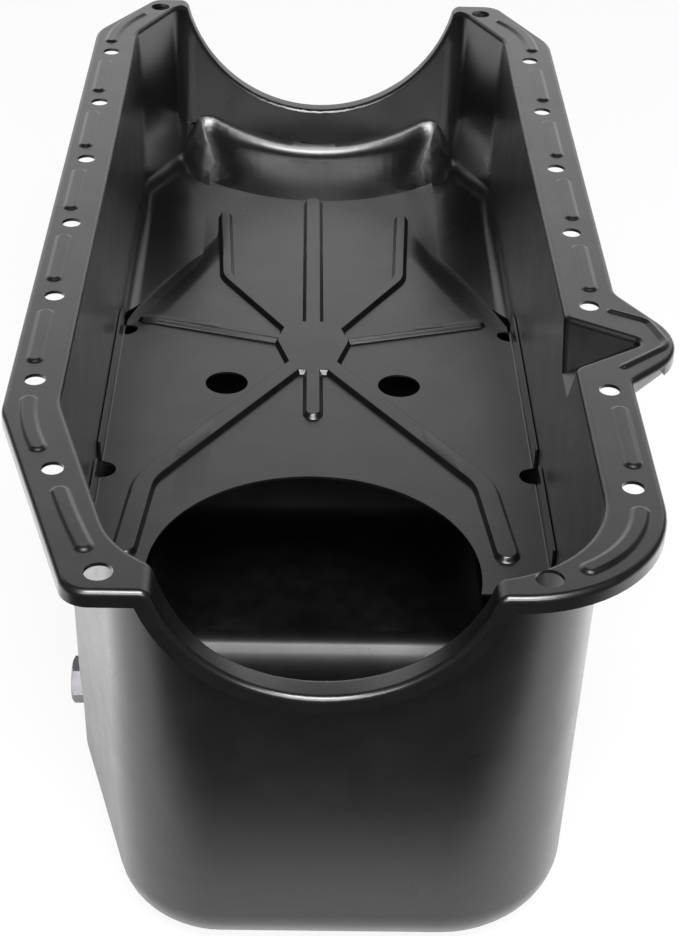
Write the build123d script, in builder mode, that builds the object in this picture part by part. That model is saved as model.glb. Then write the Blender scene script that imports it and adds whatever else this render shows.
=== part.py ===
"""Engine oil pan with a deep rear sump, a welded windage tray and a drain plug.

Frame: X across the engine, +Y towards the front of the engine, +Z up.  The
origin is the middle of the side-rail bolts in the gasket plane (z = 0).
Every length is in millimetres and every angle in degrees.
"""
from build123d import *
import math
import os

os.makedirs("parts", exist_ok=True)

# --- Pressed sheet --------------------------------------------------------------
sheet = 1.5                  # steel of the pan
wall_draft = 0.8             # lean of every pressed wall
bend_radius = 2.5            # inner edge of the rail, where the wall turns down
reach = 400.0                # beyond the pan in every direction

# --- Walls of the well, outer face in the gasket plane ----------------------------
well_half_width = 107.0
front_wall_y = 252.0
rear_wall_y = -306.0
front_corner_y = 205.0       # where the side walls start to turn in
front_wall_half_width = 85.0
front_corner_radius = 26.0
nose_corner_radius = 16.0
left_turn_y = -192.0         # where the left wall starts to turn in
left_turn_radius = 45.0
left_rear_x = -73.0
left_rear_radius = 47.0
right_rear_radius = 56.0

# --- Depths inside the pan, below the gasket plane --------------------------------
deck_depth = 101.0           # shallow floor
deck_radius = 10.0           # its edges, outer face
sump_depth = 194.0           # rear part of the sump floor
step_rise = 11.0             # its front part, above the rear part
step_depth = sump_depth - step_rise
sump_radius = 22.0           # edges of both, outer face
slope_top_y = 90.0           # sloped front of the sump: upper and lower end
slope_foot_y = -14.0
slope_corner_radius = 60.0
step_foot_y = -114.0         # step in the sump floor
step_angle = 45.0
step_root = 8.0              # round at the top of the step, outer face

# --- Pocket under the bulge in the right-hand rail ---------------------------------
pocket_x = 141.0
pocket_depth = 44.0
pocket_front_y = -115.5      # where its edges meet the well wall
pocket_tip_y = -136.0
pocket_rear_y = -158.5
pocket_tip_radius = 5.0
pocket_throat = 5.5          # round where it leaves the well wall

# --- Crankshaft seal seats -----------------------------------------------------------
crank_height = 16.0          # crank line above the gasket plane
front_seal_radius = 81.0
rear_seal_radius = 63.5
seal_corner_radius = 5.0

# --- Raised shelf at the front of the shallow floor ----------------------------------
shelf_radius = 110.0         # trough round the crank line
shelf_edge_radius = 100.0    # plan radius of its foot
shelf_nose_y = 191.5         # where the foot crosses the centre line
shelf_lean = 32.0
shelf_rise = 60.0
shelf_round = 8.0

# --- Rail ------------------------------------------------------------------------------
rail_half_width = 128.5
rail_front_y = 260.5
rail_rear_y = -315.5
rail_bulge_x = 158.9
rail_bulge_y = -138.1
lip_depth = 7.0
lip_radius = 2.5

# --- Bolt holes --------------------------------------------------------------------------
rail_bolt_half_span = 117.5
rail_bolt_pitch = 70.3
rail_bolt_rows = 6
rail_hole = 8.8
corner_hole = 10.6
front_bolt = (94.9, 246.5)
rear_bolt = (79.8, -303.8)
left_end_bolt = (-103.1, -239.7)
right_end_bolt = (117.5, -246.1)

# --- Beads between the bolt holes ----------------------------------------------------------
bead_width = 8.5
bead_height = 1.2
bead_lean = 45.0
bead_offset = 2.0            # outboard of the bolt line
bead_gap = 12.0              # from a hole's centre to a bead's end
front_bead_bows = (9.5, 11.4)           # left and right, outboard of the line between two holes
rear_bead_bows = (5.5, 1.5, 13.7)       # left, left end and right
bulge_bead_width = 5.0       # bead round the pocket
bulge_bead_radius = 8.0
bulge_bead_start = (-32.4, 28.1)        # its ends and corners, from the corner of the bulge
bulge_bead_front = (-17.4, 19.9)
bulge_bead_rear = (-11.3, -0.4)
bulge_bead_end = (-32.9, -18.9)

# --- Drain plug -------------------------------------------------------------------------------
plug_y = -168.0
plug_rise = 28.0             # plug's centre above the sump floor
plug_z = plug_rise - sump_depth
pad_x = 99.5                 # outer face of the flat pad, left of the centre line
pad_width = 60.0
pad_above = 28.0             # pad above the plug's centre
pad_below = 72.0
pad_corner = 20.0
pad_rise = 12.0
pad_lean = 40.0
thread = 12.7
thread_clearance = 0.08
drain_hole = 14.0
bush_diameter = 25.0
bush_length = 9.0
gasket_diameter = 24.0
gasket_thickness = 1.6
gasket_clearance = 0.2
collar_diameter = 24.0
collar_thickness = 2.0
hex_size = 19.0
hex_height = 8.0
plug_tip_reach = 3.0         # shank past the bush
plug_chamfer = 1.0

# --- Windage tray ---------------------------------------------------------------------
tray_sheet = 1.2
tray_clearance = 0.3         # to the well walls and the shelf
tray_x = -2.5                # centre line of the forward rib
tray_bend = 1.0              # inside the folded edges
tray_edge_rise = 12.0        # height of the folded edges
tray_edge_front_y = 41.0     # the two lengths of folded edge on each side
tray_edge_break_y = -90.0
tray_edge_rest_y = -104.0
tray_edge_rear_y = -170.0
tray_notch_radius = 6.5
tray_shoulder_y = 48.0       # where the front edge leaves the walls
tongue_right_x = 70.0
tongue_left_x = 65.0
tongue_rear_y = 126.0
tray_rear_y = -188.0
cut_out_radius = 74.0
cut_out_x = -2.0
cut_out_y = -174.0
tray_hole = 21.4
tray_hole_half_span = 43.6
tray_hole_y = -17.5
rib_height = 3.2
rib_lean = 40.0
hub_corner = 5.0


def outline(corners, inset=0.0):
    """Closed plan outline through (x, y, radius) corners, drawn in by inset."""
    with BuildSketch(Plane.XY) as plan:
        with BuildLine():
            Polyline(*[(x, y) for x, y, radius in corners], close=True)
        make_face()
        for x, y, radius in corners:
            fillet(plan.vertices().sort_by_distance((x, y, 0))[0], radius)
        if inset > 0:
            offset(amount=-inset, kind=Kind.INTERSECTION, mode=Mode.REPLACE)
    return plan.sketch


REAR_CORNERS = [
    (left_rear_x, rear_wall_y, left_rear_radius),
    (well_half_width, rear_wall_y, right_rear_radius),
]
LEFT_TURN = (-well_half_width, left_turn_y, left_turn_radius)
WELL_CORNERS = REAR_CORNERS + [
    (well_half_width, front_corner_y, front_corner_radius),
    (front_wall_half_width, front_wall_y, nose_corner_radius),
    (-front_wall_half_width, front_wall_y, nose_corner_radius),
    (-well_half_width, front_corner_y, front_corner_radius),
    LEFT_TURN,
]
SUMP_CORNERS = REAR_CORNERS + [
    (well_half_width, slope_top_y + deck_radius, slope_corner_radius),
    (-well_half_width, slope_top_y + deck_radius, slope_corner_radius),
    LEFT_TURN,
]
POCKET_RUN = pocket_x - well_half_width
POCKET_CORNERS = [
    (pocket_x, pocket_tip_y, pocket_tip_radius),
    (pocket_x - 2 * POCKET_RUN, 2 * pocket_front_y - pocket_tip_y, pocket_tip_radius),
    (pocket_x - 2 * POCKET_RUN, 2 * pocket_rear_y - pocket_tip_y, pocket_tip_radius),
]
RAIL_CORNERS = [
    (-91.3, rail_rear_y, 12.0),
    (rail_half_width, rail_rear_y, 60.0),
    (rail_half_width, rail_bulge_y - 30, 6.0),
    (rail_bulge_x, rail_bulge_y, 30.0),
    (rail_half_width + 2, rail_bulge_y + 46, 15.0),
    (rail_half_width + 3, 203.0, 36.0),
    (105.0, rail_front_y, 12.0),
    (-99.0, rail_front_y, 10.0),
    (-rail_half_width, 208.0, 28.0),
    (-rail_half_width, -198.5, 25.0),
]


def drafted_prism(corners, depth, inset):
    """Plan outline drawn down to depth with leaning walls, held upside down.

    Upside down it narrows as it rises, which keeps its walls plain planes and cones.
    """
    with BuildPart() as form:
        with BuildSketch(Plane.XY):
            add(outline(corners, inset))
        extrude(amount=depth + sheet - inset, taper=wall_draft)
    return form.part


def shallow_form(inset):
    """Shallow well with its flat floor and rounded edges."""
    with BuildPart() as form:
        add(drafted_prism(WELL_CORNERS, deck_depth, inset))
        fillet(form.faces().sort_by(Axis.Z)[-1].edges(), deck_radius - inset)
        mirror(about=Plane.XY, mode=Mode.REPLACE)
    return form.part


def sump_form(inset):
    """Deep sump: sloped front, stepped floor, and generous edges all round."""
    rear_z = sump_depth + sheet - inset
    step_z = step_depth + sheet - inset
    slope = math.atan2(step_depth - deck_depth, slope_top_y - slope_foot_y)
    step = math.radians(step_angle)
    foot_y = slope_foot_y - inset * math.tan(slope / 2)
    rear_y = step_foot_y - inset * math.tan(step / 2)
    root_y = rear_y + (rear_z - step_z) / math.tan(step)
    with BuildPart() as form:
        add(drafted_prism(SUMP_CORNERS, sump_depth, inset))
        with BuildSketch(Plane.YZ):
            with BuildLine():
                Polyline(
                    (rear_y, rear_z),
                    (root_y, step_z),
                    (foot_y, step_z),
                    (foot_y + step_z / math.tan(slope), 0),
                    (reach, 0),
                    (reach, rear_z + sheet),
                    (rear_y, rear_z + sheet),
                    close=True,
                )
            make_face()
        extrude(amount=reach, both=True, mode=Mode.SUBTRACT)
        fillet(form.edges().sort_by_distance((0, root_y, step_z))[0], step_root + inset)
        lower_edges = [
            edge for edge in form.edges()
            if edge.center().Z > sump_radius and abs(edge.tangent_at(0.5).Z) < 0.9
            and not (abs(edge.tangent_at(0.5).X) > 0.9 and rear_y + 1 < edge.center().Y < foot_y - 1)
        ]
        fillet(lower_edges, sump_radius - inset)
        mirror(about=Plane.XY, mode=Mode.REPLACE)
    return form.part


def shelf_block(skin):
    """Raised shelf at the front of the shallow floor, thinned by skin all over."""
    lean = math.radians(shelf_lean)
    centre_y = shelf_nose_y + shelf_edge_radius
    foot_z = -deck_depth - sheet
    foot_y = shelf_nose_y - sheet * math.tan(lean) + skin * (1 / math.cos(lean) + math.tan(lean))
    with BuildPart() as block:
        with BuildSketch(Plane.YZ):
            with BuildLine():
                Polyline(
                    (centre_y, foot_z),
                    (foot_y, foot_z),
                    (foot_y + shelf_rise * math.tan(lean), foot_z + shelf_rise),
                    (centre_y, foot_z + shelf_rise),
                    close=True,
                )
            make_face()
        revolve(axis=Axis((0, centre_y, 0), (0, 0, 1)))
        with BuildSketch(Plane.XZ.offset(-centre_y)):
            with Locations((0, crank_height)):
                Circle(shelf_radius + skin)
        extrude(amount=3 * shelf_edge_radius, both=True, mode=Mode.SUBTRACT)
        crest = block.edges().filter_by_position(Axis.Z, foot_z + 1, foot_z + shelf_rise - 1)
        fillet(crest, shelf_round + skin)
    return block.part


def pad_block(inset):
    """What the flat pad round the drain plug takes off the left wall."""
    centre_z = plug_z + (pad_above - pad_below) / 2
    with BuildPart() as block:
        with BuildSketch(Plane.YZ.offset(-pad_x + inset)):
            with Locations((plug_y, centre_z)):
                height = pad_above + pad_below + 2 * inset
                RectangleRounded(pad_width + 2 * inset, height, pad_corner + inset)
        extrude(amount=-pad_rise, taper=-pad_lean)
    return block.part


def pocket_block(inset):
    """Pocket under the bulge in the right-hand rail, with a sloping floor."""
    slope = math.atan2(pocket_depth, pocket_x - well_half_width)
    tip = pocket_x - inset / math.sin(slope)
    drop = pocket_depth + reach * math.tan(slope)
    with BuildPart() as block:
        with BuildSketch(Plane.XY):
            add(outline(POCKET_CORNERS, inset))
        extrude(amount=-2 * pocket_depth)
        with BuildSketch(Plane.XZ.offset(-pocket_front_y)):
            with BuildLine():
                Polyline(
                    (tip, 0), (tip - drop / math.tan(slope), -drop), (reach, -drop), (reach, 0), close=True
                )
            make_face()
        extrude(amount=reach, both=True, mode=Mode.SUBTRACT)
    return block.part


def well_form(inset):
    """Solid that fills the well, its skin drawn in by inset from the outer face."""
    with BuildPart() as form:
        add(shallow_form(inset))
        add(sump_form(inset))
        add(pocket_block(inset))
        throat = [
            edge for edge in form.edges().filter_by_position(Axis.Y, pocket_rear_y - 9, pocket_front_y + 9)
            if abs(edge.tangent_at(0.5).Z) > 0.95
            and well_half_width - 2 * sheet < edge.center().X < well_half_width
            and edge.length > pocket_depth / 2
        ]
        fillet(throat, pocket_throat - sheet + inset)
        add(shelf_block(sheet - inset), mode=Mode.SUBTRACT)
        add(pad_block(inset), mode=Mode.SUBTRACT)
    return form.part


def under_rail(radius, depth):
    """Section of everything lower than depth under the rail and a seal seat."""
    half = math.sqrt((radius + depth) ** 2 - (crank_height + depth) ** 2)
    with BuildSketch(Plane.XZ) as region:
        with BuildLine():
            Polyline(
                (-half, -depth), (-reach, -depth), (-reach, -reach),
                (reach, -reach), (reach, -depth), (half, -depth),
            )
            ThreePointArc((half, -depth), (0, crank_height - radius - depth), (-half, -depth))
        make_face()
        if seal_corner_radius > depth:
            corners = region.vertices().sort_by_distance((0, 0, -depth))[:2]
            fillet(corners, seal_corner_radius - depth)
    return region.sketch


def below(depth):
    """Space more than depth under the rail and under both seal seats."""
    with BuildPart() as space:
        with BuildSketch(Plane.XZ):
            add(under_rail(front_seal_radius, depth))
        extrude(amount=-reach)
        with BuildSketch(Plane.XZ):
            add(under_rail(rear_seal_radius, depth))
        extrude(amount=reach)
    return space.part


def rail_block(inset):
    """Solid under the rail's top face, drawn in by inset and rounded only outside."""
    with BuildPart() as block:
        with BuildSketch(Plane.XY):
            add(outline(RAIL_CORNERS, inset))
        extrude(amount=-deck_depth)
        add(below(inset), mode=Mode.INTERSECT)
        crest = [
            edge for edge in block.edges()
            if edge.center().Z > 1 - deck_depth
            and abs(edge.tangent_at(0.5).Z) < 0.95
            and not (abs(edge.center().Y) < 1 and abs(edge.center().X) < well_half_width)
        ]
        if inset == 0:
            fillet(crest, lip_radius)
    return block.part


def bend_edges(part):
    """Edges where the rail and the seal seats turn down into the inside of the well."""
    with BuildSketch(Plane.XY) as plan:
        add(outline(WELL_CORNERS))
        add(outline(POCKET_CORNERS))
        throat = [
            corner for corner in plan.vertices()
            if abs(corner.X - well_half_width) < sheet / 4
            and pocket_rear_y - 9 < corner.Y < pocket_front_y + 9
        ]
        fillet(throat, pocket_throat - sheet)
    wall = plan.sketch.faces()[0].outer_wire()
    lean = math.tan(math.radians(wall_draft))
    chosen = []
    for edge in part.edges():
        middle = edge.position_at(0.5)
        if middle.Z > crank_height - front_seal_radius - 2 * sheet:
            away = wall.distance_to(Vertex(middle.X, middle.Y, 0)) + middle.Z * lean
            at_rail = middle.Z > -2 * sheet or abs(middle.Y) > front_corner_y
            level = abs(edge.tangent_at(0.5).Z) < 0.95
            if abs(away - sheet) < sheet / 4 and level and at_rail:
                chosen.append(edge)
    return chosen


def bead_plan():
    """Plan of every bead between the bolt holes."""
    line_x = rail_bolt_half_span + bead_offset
    length = rail_bolt_pitch - 2 * bead_gap
    with BuildSketch(Plane.XY) as plan:
        with GridLocations(0, rail_bolt_pitch, 1, rail_bolt_rows - 1):
            with Locations((-line_x, 0)):
                SlotOverall(length, bead_width, rotation=90)
        with GridLocations(0, rail_bolt_pitch, 1, rail_bolt_rows - 2):
            with Locations((line_x, rail_bolt_pitch / 2)):
                SlotOverall(length, bead_width, rotation=90)
        with Locations((line_x, (right_end_bolt[1] - rail_bolt_end_y) / 2)):
            SlotOverall(length, bead_width, rotation=90)
        for first, last, bow in BOWED_BEADS:
            SlotArc(bowed_line(first, last, bow), bead_width)
        with BuildLine() as path:
            FilletPolyline(*BULGE_BEAD, radius=bulge_bead_radius)
        SlotArc(path.wire(), bulge_bead_width)
    return plan.sketch


def bowed_line(first, last, bow):
    """Centre line of a bead that bows outboard between two bolt holes and stops short of both."""
    chord = Vector(*last) - Vector(*first)
    side = chord.normalized().rotate(Axis.Z, 90)
    middle = Vector(*first) + chord / 2
    if (middle + side).length < middle.length:
        side = -side
    with BuildLine() as path:
        whole = ThreePointArc(first, middle + side * bow, last, mode=Mode.PRIVATE)
        short = (bead_gap + bead_width / 2) / whole.length
        add(whole.trim(short, 1 - short))
    return path.wire()


rail_bolt_end_y = rail_bolt_pitch * (rail_bolt_rows - 1) / 2
left_rear_bolt = (-rear_bolt[0], rear_bolt[1])
BOWED_BEADS = [
    ((-rail_bolt_half_span, rail_bolt_end_y), (-front_bolt[0], front_bolt[1]), front_bead_bows[0]),
    ((rail_bolt_half_span, rail_bolt_end_y), front_bolt, front_bead_bows[1]),
    ((-rail_bolt_half_span, -rail_bolt_end_y), left_end_bolt, rear_bead_bows[0]),
    (left_end_bolt, left_rear_bolt, rear_bead_bows[1]),
    (right_end_bolt, rear_bolt, rear_bead_bows[2]),
]
BULGE_BEAD = [
    (rail_bulge_x + x, rail_bulge_y + y)
    for x, y in (bulge_bead_start, bulge_bead_front, bulge_bead_rear, bulge_bead_end)
]

# --- Pan body: one pressing ----------------------------------------------------------
plug_plane = Plane(origin=(-pad_x, plug_y, plug_z), x_dir=(0, -1, 0), z_dir=(-1, 0, 0))

with BuildPart() as pan_body:
    add(rail_block(0))
    add(rail_block(sheet), mode=Mode.SUBTRACT)
    add(below(lip_depth), mode=Mode.SUBTRACT)
    add(well_form(0) & below(0))
    add(well_form(sheet), mode=Mode.SUBTRACT)
    fillet(bend_edges(pan_body.part), bend_radius)
    with BuildSketch(Plane.XY):
        add(bead_plan())
    extrude(amount=bead_height, taper=bead_lean)
    with GridLocations(2 * rail_bolt_half_span, rail_bolt_pitch, 2, rail_bolt_rows):
        Hole(rail_hole / 2, depth=sheet)
    with Locations(right_end_bolt, left_end_bolt):
        Hole(rail_hole / 2, depth=sheet)
    with Locations(front_bolt, (-front_bolt[0], front_bolt[1]), rear_bolt, left_rear_bolt):
        Hole(corner_hole / 2, depth=sheet)
    with Locations(plug_plane):
        Hole(drain_hole / 2, depth=2 * sheet)
pan_body.part.label = "pan_body"
export_step(pan_body.part, "parts/pan_body.step")

# --- Drain bush, gasket and plug -------------------------------------------------------
bush_plane = plug_plane.offset(-sheet)
with BuildPart() as drain_bush:
    with BuildSketch(bush_plane):
        Circle(bush_diameter / 2)
        Circle(thread / 2 + thread_clearance, mode=Mode.SUBTRACT)
    extrude(amount=-bush_length)
    chamfer(drain_bush.faces().sort_by(Axis.X)[-1].edges(), plug_chamfer)
drain_bush.part.label = "drain_bush"
export_step(drain_bush.part, "parts/drain_bush.step")

with BuildPart() as drain_gasket:
    with BuildSketch(plug_plane):
        Circle(gasket_diameter / 2)
        Circle(thread / 2 + gasket_clearance, mode=Mode.SUBTRACT)
    extrude(amount=gasket_thickness)
drain_gasket.part.label = "drain_gasket"
export_step(drain_gasket.part, "parts/drain_gasket.step")

collar_plane = plug_plane.offset(gasket_thickness)
hex_plane = collar_plane.offset(collar_thickness)
corner_radius = hex_size / 2 / math.cos(math.pi / 6)
collar_x = collar_plane.origin.X
hex_x = hex_plane.origin.X
head_x = hex_x - hex_height
tip_x = collar_x + gasket_thickness + sheet + bush_length + plug_tip_reach
with BuildPart() as drain_plug:
    with BuildSketch(Plane.XY.offset(plug_z)):
        with BuildLine():
            Polyline(
                (head_x, plug_y),
                (head_x, plug_y + hex_size / 2 - plug_chamfer / 2),
                (head_x + plug_chamfer, plug_y + corner_radius),
                (hex_x, plug_y + corner_radius),
                (hex_x, plug_y + collar_diameter / 2),
                (collar_x, plug_y + collar_diameter / 2),
                (collar_x, plug_y + thread / 2),
                (tip_x - plug_chamfer, plug_y + thread / 2),
                (tip_x, plug_y + thread / 2 - plug_chamfer),
                (tip_x, plug_y),
                close=True,
            )
        make_face()
    revolve(axis=Axis(plug_plane.origin, plug_plane.z_dir))
    with BuildSketch(hex_plane):
        Circle(collar_diameter)
        RegularPolygon(hex_size / 2, 6, major_radius=False, mode=Mode.SUBTRACT)
    extrude(amount=hex_height, mode=Mode.SUBTRACT)
drain_plug.part.label = "drain_plug"
export_step(drain_plug.part, "parts/drain_plug.step")

# --- Windage tray --------------------------------------------------------------------------
tray_side_x = well_half_width - sheet - deck_depth * math.tan(math.radians(wall_draft)) - tray_clearance
tray_fold_x = tray_side_x - tray_sheet - tray_bend
tray_front_radius = shelf_edge_radius + tray_clearance
cut_out_half = math.sqrt(cut_out_radius**2 - (tray_rear_y - cut_out_y) ** 2)
rib_shift = tray_sheet * math.tan(math.radians(rib_lean / 2))


def tray_front(x):
    """Front edge of the tray's tongue, along the foot of the shelf."""
    return shelf_nose_y + shelf_edge_radius - math.sqrt(tray_front_radius**2 - x**2)


def ribs(plane, inset):
    """Raised ribs and hub of the tray, drawn in by inset, standing on the given plane."""
    with BuildPart() as group:
        for points, width, radius in RIBS:
            with BuildSketch(plane):
                with BuildLine() as path:
                    if radius > 0:
                        FilletPolyline(*points, radius=radius)
                    else:
                        Line(*points)
                SlotArc(path.wire(), width - 2 * inset)
            extrude(amount=rib_height, taper=rib_lean)
        with BuildSketch(plane) as hub:
            with BuildLine():
                Polyline(*HUB_POINTS, close=True)
            make_face()
            fillet(hub.vertices(), hub_corner)
            offset(amount=-inset, mode=Mode.REPLACE)
        extrude(amount=rib_height, taper=rib_lean)
    return group.part


HUB_POINTS = [(-18, 44), (12, 44), (18, 22), (9, -9), (-14, -9), (-23, 22)]
RIBS = [
    ([(tray_x, 36), (tray_x, 186)], 11.5, 0),
    ([(tray_x, 0), (tray_x, -46)], 10.5, 0),
    ([(8, 32), (45, 93), (49, 168)], 8.5, 18),
    ([(-13, 32), (-50, 93), (-54, 168)], 8.5, 18),
    ([(8, 24), (86, 46.5)], 8.5, 0),
    ([(-13, 24), (-92, 47)], 8.5, 0),
    ([(4, 2), (78, -106), (84, -160)], 12.5, 30),
    ([(-9, 2), (-81, -106), (-86, -160)], 12.5, 30),
]

with BuildPart() as windage_tray:
    with BuildSketch(Plane.XY.offset(-deck_depth)):
        with BuildLine():
            Line((tray_fold_x, tray_rear_y), (tray_fold_x, tray_shoulder_y))
            ThreePointArc((tray_fold_x, tray_shoulder_y), (91, 78), (tongue_right_x, tongue_rear_y))
            Line((tongue_right_x, tongue_rear_y), (tongue_right_x, tray_front(tongue_right_x)))
            ThreePointArc(
                (tongue_right_x, tray_front(tongue_right_x)),
                (0, tray_front(0)),
                (-tongue_left_x, tray_front(tongue_left_x)),
            )
            Line((-tongue_left_x, tray_front(tongue_left_x)), (-tongue_left_x, tongue_rear_y))
            ThreePointArc((-tongue_left_x, tongue_rear_y), (-89, 84), (-tray_fold_x, tray_shoulder_y))
            Line((-tray_fold_x, tray_shoulder_y), (-tray_fold_x, tray_rear_y))
            Line((-tray_fold_x, tray_rear_y), (cut_out_x - cut_out_half, tray_rear_y))
            ThreePointArc(
                (cut_out_x - cut_out_half, tray_rear_y),
                (cut_out_x, cut_out_y + cut_out_radius),
                (cut_out_x + cut_out_half, tray_rear_y),
            )
            Line((cut_out_x + cut_out_half, tray_rear_y), (tray_fold_x, tray_rear_y))
        make_face()
    extrude(amount=tray_sheet)
    for start_y, end_y in ((tray_edge_front_y, tray_edge_break_y), (tray_edge_rest_y, tray_edge_rear_y)):
        with BuildSketch(Plane.XZ.offset(-start_y)) as edge_section:
            with BuildLine() as right_edge:
                FilletPolyline(
                    (tray_fold_x - tray_bend, tray_sheet / 2 - deck_depth),
                    (tray_side_x - tray_sheet / 2, tray_sheet / 2 - deck_depth),
                    (tray_side_x - tray_sheet / 2, tray_edge_rise - deck_depth),
                    radius=tray_bend + tray_sheet / 2,
                )
            trace(line_width=tray_sheet)
            mirror(about=Plane.YZ)
        extrude(amount=start_y - end_y)
    add(ribs(Plane.XY.offset(tray_sheet - deck_depth), 0))
    add(ribs(Plane.XY.offset(-deck_depth), rib_shift), mode=Mode.SUBTRACT)
    with BuildSketch(Plane.XY.offset(-deck_depth)):
        with Locations((tray_x, tray_hole_y)):
            with GridLocations(2 * tray_hole_half_span, 0, 2, 1):
                Circle(tray_hole / 2)
        front_notch_y = tray_edge_front_y - tray_notch_radius + tray_bend
        for notch_y in (front_notch_y, (tray_edge_break_y + tray_edge_rest_y) / 2):
            with Locations((tray_fold_x, notch_y), (-tray_fold_x, notch_y)):
                Circle(tray_notch_radius)
    extrude(amount=tray_sheet, mode=Mode.SUBTRACT)
windage_tray.part.label = "windage_tray"
export_step(windage_tray.part, "parts/windage_tray.step")
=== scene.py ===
"""Engine oil pan, dressed for rendering on a white sweep.

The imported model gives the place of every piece.  The pan and the windage tray
are copies of their solids with rolled beads and ribs and eased forms, the
drain plug gets its thread and the bush its weld, and each finish is a
procedural material.
"""
import logging
import math
from dataclasses import dataclass, field
from enum import Enum
from typing import Callable, Iterable

import bmesh
import bpy
from mathutils import Matrix, Vector


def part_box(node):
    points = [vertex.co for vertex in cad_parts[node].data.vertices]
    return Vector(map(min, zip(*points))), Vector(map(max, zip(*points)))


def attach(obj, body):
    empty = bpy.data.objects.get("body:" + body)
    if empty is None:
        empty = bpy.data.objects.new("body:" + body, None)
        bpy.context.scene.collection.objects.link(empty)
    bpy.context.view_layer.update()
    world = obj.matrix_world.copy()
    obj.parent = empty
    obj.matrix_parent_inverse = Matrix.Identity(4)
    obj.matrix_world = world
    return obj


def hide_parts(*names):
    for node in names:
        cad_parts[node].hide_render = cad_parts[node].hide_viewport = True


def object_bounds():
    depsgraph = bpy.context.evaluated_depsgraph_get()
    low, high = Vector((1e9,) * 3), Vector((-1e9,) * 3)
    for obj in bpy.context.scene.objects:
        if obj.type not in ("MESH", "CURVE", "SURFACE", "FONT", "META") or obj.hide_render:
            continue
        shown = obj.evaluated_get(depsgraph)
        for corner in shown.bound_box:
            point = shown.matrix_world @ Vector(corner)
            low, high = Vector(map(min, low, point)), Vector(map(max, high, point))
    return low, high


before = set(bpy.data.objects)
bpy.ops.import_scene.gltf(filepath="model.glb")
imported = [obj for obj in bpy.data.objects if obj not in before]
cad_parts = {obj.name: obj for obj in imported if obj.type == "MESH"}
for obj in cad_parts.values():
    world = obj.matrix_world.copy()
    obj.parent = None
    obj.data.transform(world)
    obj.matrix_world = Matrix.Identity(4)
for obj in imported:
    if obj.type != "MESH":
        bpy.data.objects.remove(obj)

CAD_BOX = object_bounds()
MM = 0.001
MERGE_GAP = 0.002 * MM
FLAT_ANGLE = 0.1
FACE_WEIGHT = 80
FULL = (0.0, 1.0)
ACROSS = Vector((1, 0, 0))
ALONG = Vector((0, 1, 0))
log = logging.getLogger("oil_pan")

Colour = tuple[float, float, float]
Place = tuple[float, float, float]
Limits = tuple[float, float]
Pair = tuple[float, float]
Grain = tuple[float, float]
Cut = tuple[Vector, Vector]


class Body(Enum):
    """Bodies of the frame that the pieces ride on."""

    PAN = "pan"
    WASHER = "washer"
    PLUG = "plug"


class Slot(Enum):
    """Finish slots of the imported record."""

    SHEET = "painted_sheet"
    TRAY = "painted_tray"
    BUSH = "painted_bush"
    GASKET = "gasket"
    PLUG = "plug"


# --- Sums ------------------------------------------------------------------------------------


def share_of(value: float, whole: float) -> float:
    """Give a value as a share of a whole, kept from 0 to 1."""
    return min(max(value / whole, 0.0), 1.0)


def eased(share: float) -> float:
    """Turn a share from 0 to 1 into one that starts and ends level."""
    return share * share * (3 - 2 * share)


# --- Mesh tools ------------------------------------------------------------------------------


def take_up(piece: bpy.types.Object) -> None:
    """Make a piece the only selected and active object.

    Args:
        piece: The object to work on.
    """
    if bpy.context.object and bpy.context.object.mode != "OBJECT":
        bpy.ops.object.mode_set(mode="OBJECT")
    bpy.ops.object.select_all(action="DESELECT")
    piece.select_set(True)
    bpy.context.view_layer.objects.active = piece


def take_new(name: str) -> bpy.types.Object:
    """Name the object that was just added, and apply its place and turn.

    Args:
        name: Its new name.

    Returns:
        The object, at the origin.
    """
    piece = bpy.context.object
    piece.name = name
    bpy.ops.object.transform_apply(location=True, rotation=True, scale=True)
    return piece


def edit(piece: bpy.types.Object, mode: str = "FACE") -> bmesh.types.BMesh:
    """Open a piece in edit mode with nothing selected.

    Args:
        piece: The object to edit.
        mode: Select mode, VERT, EDGE or FACE.

    Returns:
        The edit mesh.
    """
    take_up(piece)
    bpy.ops.object.mode_set(mode="EDIT")
    bpy.ops.mesh.select_mode(type=mode)
    bpy.ops.mesh.select_all(action="DESELECT")
    return bmesh.from_edit_mesh(piece.data)


def close(piece: bpy.types.Object) -> None:
    """Leave edit mode.

    Args:
        piece: The object in edit mode.
    """
    bmesh.update_edit_mesh(piece.data)
    bpy.ops.object.mode_set(mode="OBJECT")


def pick(piece: bpy.types.Object, items: Iterable, test: Callable[[object], bool]) -> int:
    """Select the faces or edges of an edit mesh that pass a test, besides what is selected.

    Args:
        piece: The object in edit mode.
        items: Faces or edges of its edit mesh.
        test: Says whether one of them is wanted.

    Returns:
        How many are selected.
    """
    count = 0
    for item in items:
        if test(item):
            item.select_set(True)
            count += 1
    bmesh.update_edit_mesh(piece.data)
    return count


def merged_copy(node: str, name: str) -> bpy.types.Object:
    """Copy a node's mesh into a new piece, joined up and free of flat seams.

    Args:
        node: Name of the node in the frame.
        name: Name of the new piece.

    Returns:
        The new piece, at the origin.
    """
    piece = bpy.data.objects.new(name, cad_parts[node].data.copy())
    piece.data.name = name
    bpy.context.scene.collection.objects.link(piece)
    take_up(piece)
    bpy.ops.mesh.customdata_custom_splitnormals_clear()
    edit(piece)
    bpy.ops.mesh.select_all(action="SELECT")
    bpy.ops.mesh.remove_doubles(threshold=MERGE_GAP)
    bpy.ops.mesh.dissolve_limited(angle_limit=math.radians(FLAT_ANGLE))
    bpy.ops.mesh.select_all(action="DESELECT")
    close(piece)
    return piece


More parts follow.
